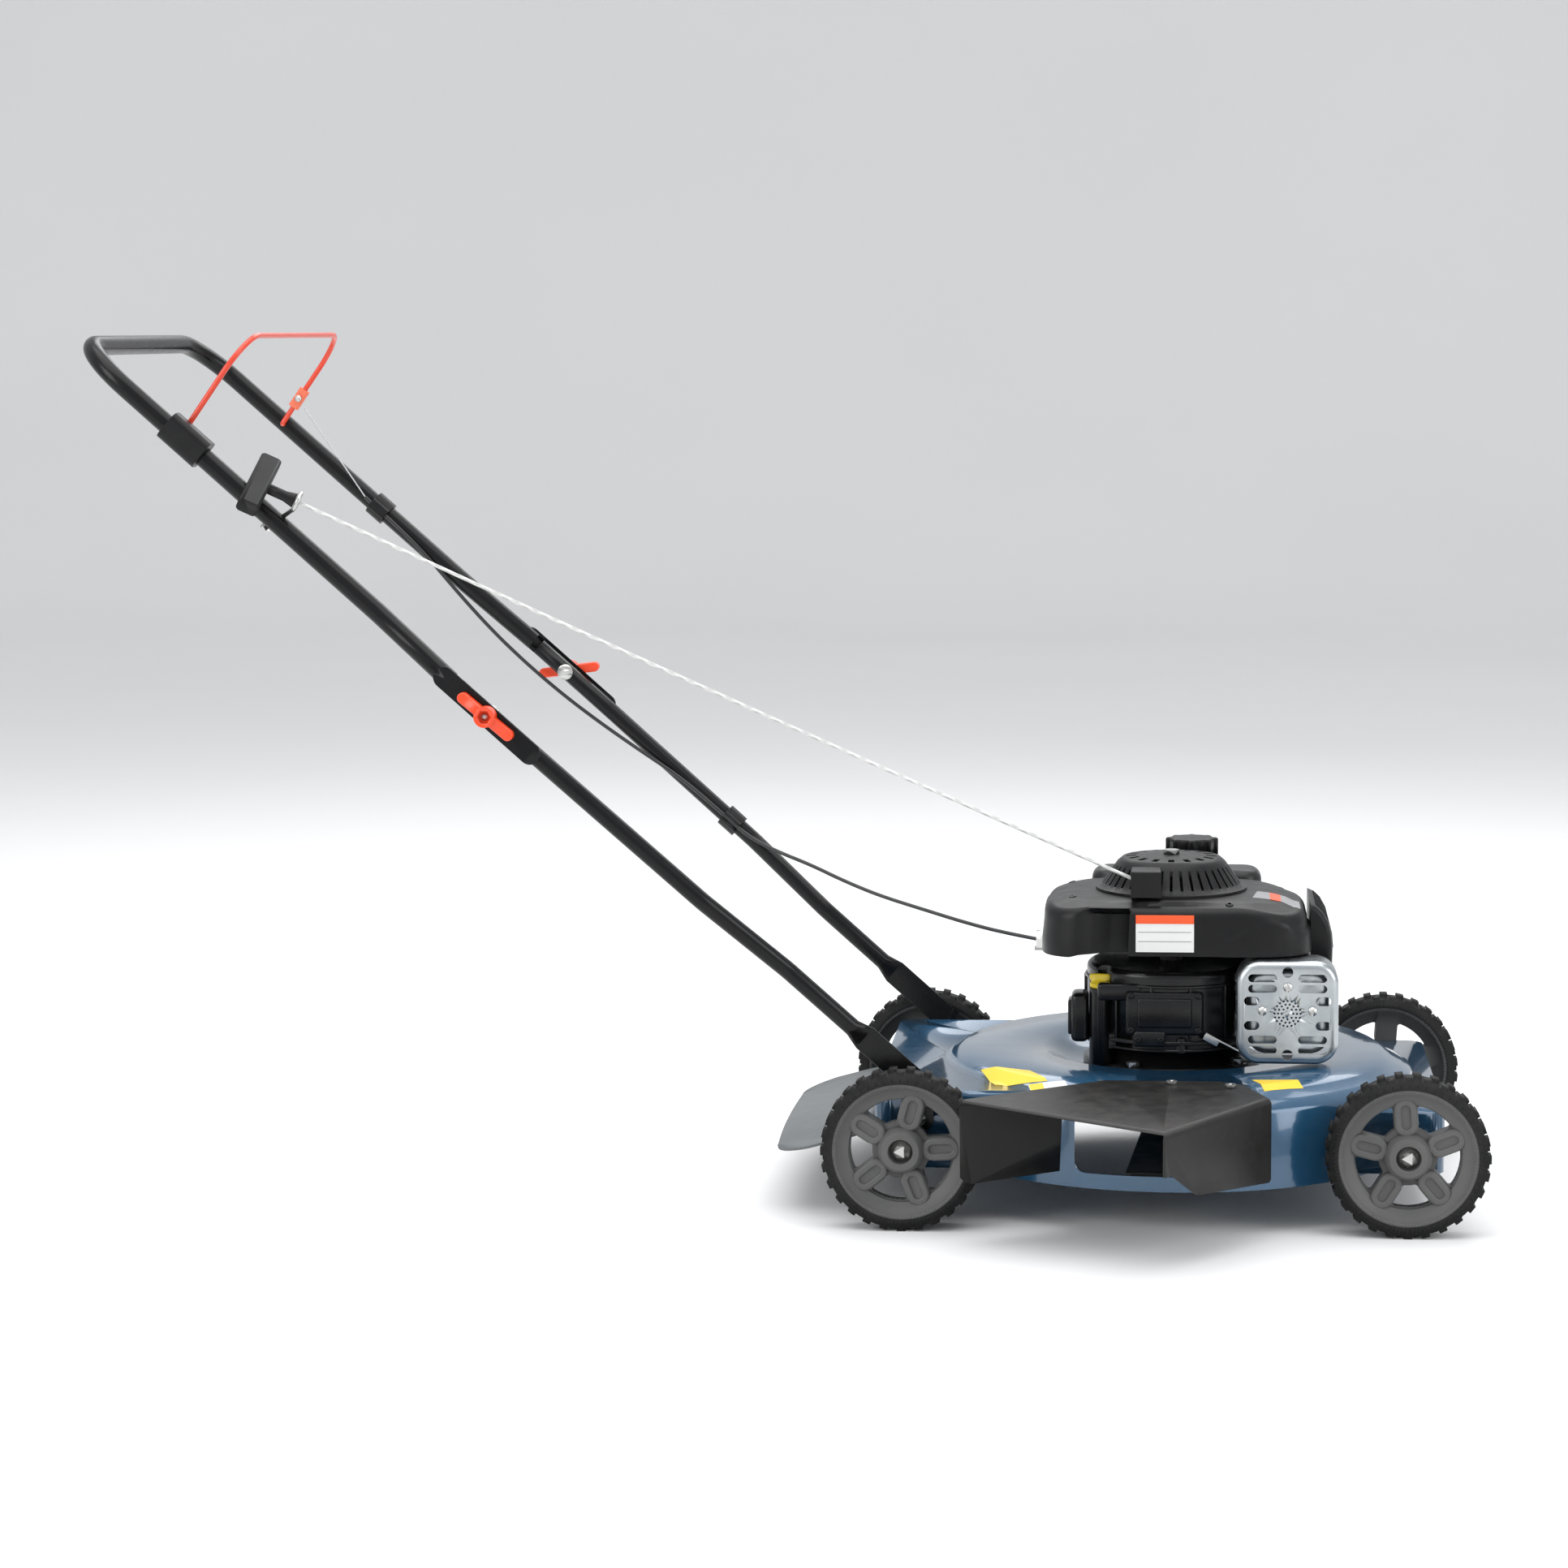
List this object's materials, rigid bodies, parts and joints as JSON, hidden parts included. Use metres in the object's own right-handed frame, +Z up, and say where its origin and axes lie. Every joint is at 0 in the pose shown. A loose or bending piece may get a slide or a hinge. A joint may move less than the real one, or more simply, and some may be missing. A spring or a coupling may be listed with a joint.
{
  "type": "walk-behind lawn mower",
  "caption": "Walk-behind petrol lawn mower with a round pressed deck, side discharge chute, pull-start engine, lugged wheels and a folding tube handle with an engine-stop bail.",
  "frame": {"origin": "on the ground, under the middle of the whole machine's bounding box", "axes": "+X is the direction of travel, +Z is up, -Y is the discharge side"},
  "size_m": [1.5594, 0.7505, 0.9921],
  "materials": {
    "tyre": "matt moulded rubber",
    "hub_grey": "satin moulded plastic",
    "deck_blue": "glossy powder coat",
    "handle_black": "glossy powder coat",
    "zinc": "bright zinc plate",
    "plastic_black": "satin moulded plastic",
    "engine_black": "gloss black enamel on a casting",
    "steel_dark": "dark blackened steel",
    "flywheel_alloy": "as cast",
    "tank_black": "blow-moulded plastic",
    "cap_yellow": "glossy moulded plastic",
    "flap_grey": "matt flexible sheet",
    "bail_orange": "glossy plastic dip",
    "clamp_orange": "moulded plastic",
    "knob_orange": "glossy moulded plastic",
    "rope_white": "braided cord",
    "cable_black": "smooth sheath",
    "wire_steel": "bright drawn wire"
  },
  "bodies": {
    "deck": {"deck_shell": "deck_blue", "chute": "plastic_black", "chute_screws": "zinc", "flap_rod": "zinc", "wheel_bolts": "zinc", "engine_base": "engine_black", "engine_bolts": "zinc", "crankcase": "engine_black", "cylinder_head": "engine_black", "spark_plug": "plastic_black", "oil_tube": "engine_black", "blower_housing": "plastic_black", "starter_cover": "plastic_black", "starter_bolt": "zinc", "rope_nozzle": "plastic_black", "fuel_tank": "tank_black", "air_filter_cover": "plastic_black", "carburettor": "plastic_black", "muffler": "zinc", "muffler_guard": "zinc", "guard_screws": "zinc", "lower_handle_right": "handle_black", "lower_handle_left": "handle_black", "handle_bolts": "zinc", "fold_bolts": "zinc", "lower_cable_clip": "plastic_black", "brake_bracket": "zinc", "starter_rope": "rope_white", "control_cable": "cable_black"},
    "wheel_front_right": {"tyre_front_right": "tyre", "hub_front_right": "hub_grey"},
    "wheel_front_left": {"tyre_front_left": "tyre", "hub_front_left": "hub_grey"},
    "wheel_rear_right": {"tyre_rear_right": "tyre", "hub_rear_right": "hub_grey"},
    "wheel_rear_left": {"tyre_rear_left": "tyre", "hub_rear_left": "hub_grey"},
    "crank": {"crankshaft": "steel_dark", "flywheel": "flywheel_alloy", "blade_adapter": "steel_dark", "blade": "steel_dark", "blade_bolt": "zinc"},
    "starter_pulley": {"recoil_pulley": "plastic_black"},
    "fuel_cap": {"fuel_cap": "plastic_black"},
    "oil_cap": {"oil_cap": "cap_yellow"},
    "rear_flap": {"rear_flap": "flap_grey"},
    "upper_handle": {"upper_handle": "handle_black", "rope_guide": "zinc", "guide_nut": "zinc", "bail_cover": "plastic_black", "upper_cable_clip": "plastic_black", "brake_wire": "wire_steel"},
    "bail": {"bail_wire": "bail_orange", "bail_clamp": "clamp_orange", "clamp_screw": "zinc"},
    "knob_right": {"knob_right": "knob_orange"},
    "knob_left": {"knob_left": "knob_orange"},
    "starter_grip": {"starter_grip": "plastic_black"}
  },
  "joints": [
    {"name": "wheel_front_right", "type": "hinge", "parent": "deck", "child": "wheel_front_right", "pos_m": [0.69075, -0.17035, 0.089], "axis": [0, 1, 0], "continuous": true},
    {"name": "wheel_front_left", "type": "hinge", "parent": "deck", "child": "wheel_front_left", "pos_m": [0.69075, 0.32865, 0.089], "axis": [0, 1, 0], "continuous": true},
    {"name": "wheel_rear_right", "type": "hinge", "parent": "deck", "child": "wheel_rear_right", "pos_m": [0.13725, -0.17035, 0.089], "axis": [0, 1, 0], "continuous": true},
    {"name": "wheel_rear_left", "type": "hinge", "parent": "deck", "child": "wheel_rear_left", "pos_m": [0.13725, 0.32865, 0.089], "axis": [0, 1, 0], "continuous": true},
    {"name": "crank_spin", "type": "hinge", "parent": "deck", "child": "crank", "pos_m": [0.43275, 0.07915, 0.2], "axis": [0, 0, 1], "continuous": true},
    {"name": "starter_pulley_spin", "type": "hinge", "parent": "deck", "child": "starter_pulley", "pos_m": [0.43275, 0.07915, 0.352], "axis": [0, 0, 1], "continuous": true},
    {"name": "fuel_cap_turn", "type": "hinge", "parent": "deck", "child": "fuel_cap", "pos_m": [0.45675, 0.19715, 0.35], "axis": [0, 0, 1], "range_deg": [0, 120]},
    {"name": "oil_cap_lift", "type": "slide", "parent": "deck", "child": "oil_cap", "axis": [0, 0, 1], "range_m": [0, 0.07]},
    {"name": "rear_flap_lift", "type": "hinge", "parent": "deck", "child": "rear_flap", "pos_m": [0.09525, 0.07915, 0.1], "axis": [0, 1, 0], "range_deg": [0, 60]},
    {"name": "handle_fold", "type": "hinge", "parent": "deck", "child": "upper_handle", "pos_m": [-0.31425, 0.07915, 0.5724], "axis": [0, 1, 0], "range_deg": [0, 150], "deforming": ["starter_rope", "control_cable"]},
    {"name": "bail_squeeze", "type": "hinge", "parent": "upper_handle", "child": "bail", "pos_m": [-0.65875, 0.07915, 0.8809], "axis": [0, -1, 0], "range_deg": [0, 79], "stiffness_Nm_per_rad": 0.5, "springref_deg": -45.84, "deforming": ["brake_wire"]},
    {"name": "knob_right_turn", "type": "hinge", "parent": "deck", "child": "knob_right", "pos_m": [-0.31425, -0.20785, 0.5724], "axis": [0, 1, 0], "continuous": true},
    {"name": "knob_left_turn", "type": "hinge", "parent": "deck", "child": "knob_left", "pos_m": [-0.31425, 0.36615, 0.5724], "axis": [0, 1, 0], "continuous": true},
    {"name": "rope_pull", "type": "slide", "parent": "upper_handle", "child": "starter_grip", "axis": [-0.6998, -0.3999, 0.5919], "range_m": [0, 0.6], "stiffness_N_per_m": 10, "springref_m": -0.3}
  ],
  "couplings": [
    {"joint": "starter_pulley_spin", "follows": "rope_pull", "rad_per_m": 27.8}
  ]
}
